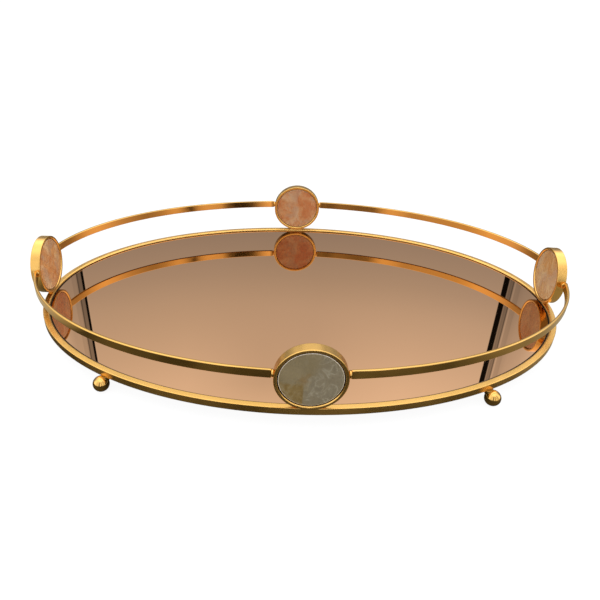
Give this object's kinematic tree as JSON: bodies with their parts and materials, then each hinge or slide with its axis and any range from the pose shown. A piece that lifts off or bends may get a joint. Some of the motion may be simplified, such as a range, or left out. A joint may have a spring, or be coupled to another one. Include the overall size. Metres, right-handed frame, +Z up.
{
  "type": "vanity tray",
  "caption": "Oval mirrored vanity tray with an open gold gallery rail, round shell-inlaid medallions and ball feet, for perfume bottles and small toiletries.",
  "frame": {"origin": "on the floor, under the middle of the tray's bounding box", "axes": "+X along the tray's length, -Y towards the front medallion, +Z up"},
  "size_m": [0.4031, 0.2704, 0.0598],
  "materials": {
    "gold_metal": "satin-polished gold-coloured metal",
    "bronze_mirror": "bronze-tinted mirror glass",
    "backing_board": "plain fibreboard",
    "felt": "short black felt",
    "grey_shell": "polished grey-green shell",
    "peach_shell": "polished peach and cream marbled shell"
  },
  "bodies": {
    "root": {"base_ring": "gold_metal", "mirror_glass": "bronze_mirror", "backing_board": "backing_board", "felt_sheet": "felt", "rail_front_left": "gold_metal", "rail_front_right": "gold_metal", "rail_back_left": "gold_metal", "rail_back_right": "gold_metal", "bezel_front": "gold_metal", "bezel_back": "gold_metal", "bezel_left": "gold_metal", "bezel_right": "gold_metal", "disc_front_outer": "grey_shell", "disc_front_inner": "peach_shell", "disc_back_outer": "grey_shell", "disc_back_inner": "peach_shell", "disc_left_outer": "grey_shell", "disc_left_inner": "peach_shell", "disc_right_outer": "grey_shell", "disc_right_inner": "peach_shell", "collar_front_left": "gold_metal", "collar_front_right": "gold_metal", "collar_back_left": "gold_metal", "collar_back_right": "gold_metal", "collar_left_front": "gold_metal", "collar_left_back": "gold_metal", "collar_right_front": "gold_metal", "collar_right_back": "gold_metal", "seat_front": "gold_metal", "seat_back": "gold_metal", "seat_left": "gold_metal", "seat_right": "gold_metal", "ball_front_left": "gold_metal", "ball_front_right": "gold_metal", "ball_back_left": "gold_metal", "ball_back_right": "gold_metal", "stem_front_left": "gold_metal", "stem_front_right": "gold_metal", "stem_back_left": "gold_metal", "stem_back_right": "gold_metal"}
  },
  "joints": []
}
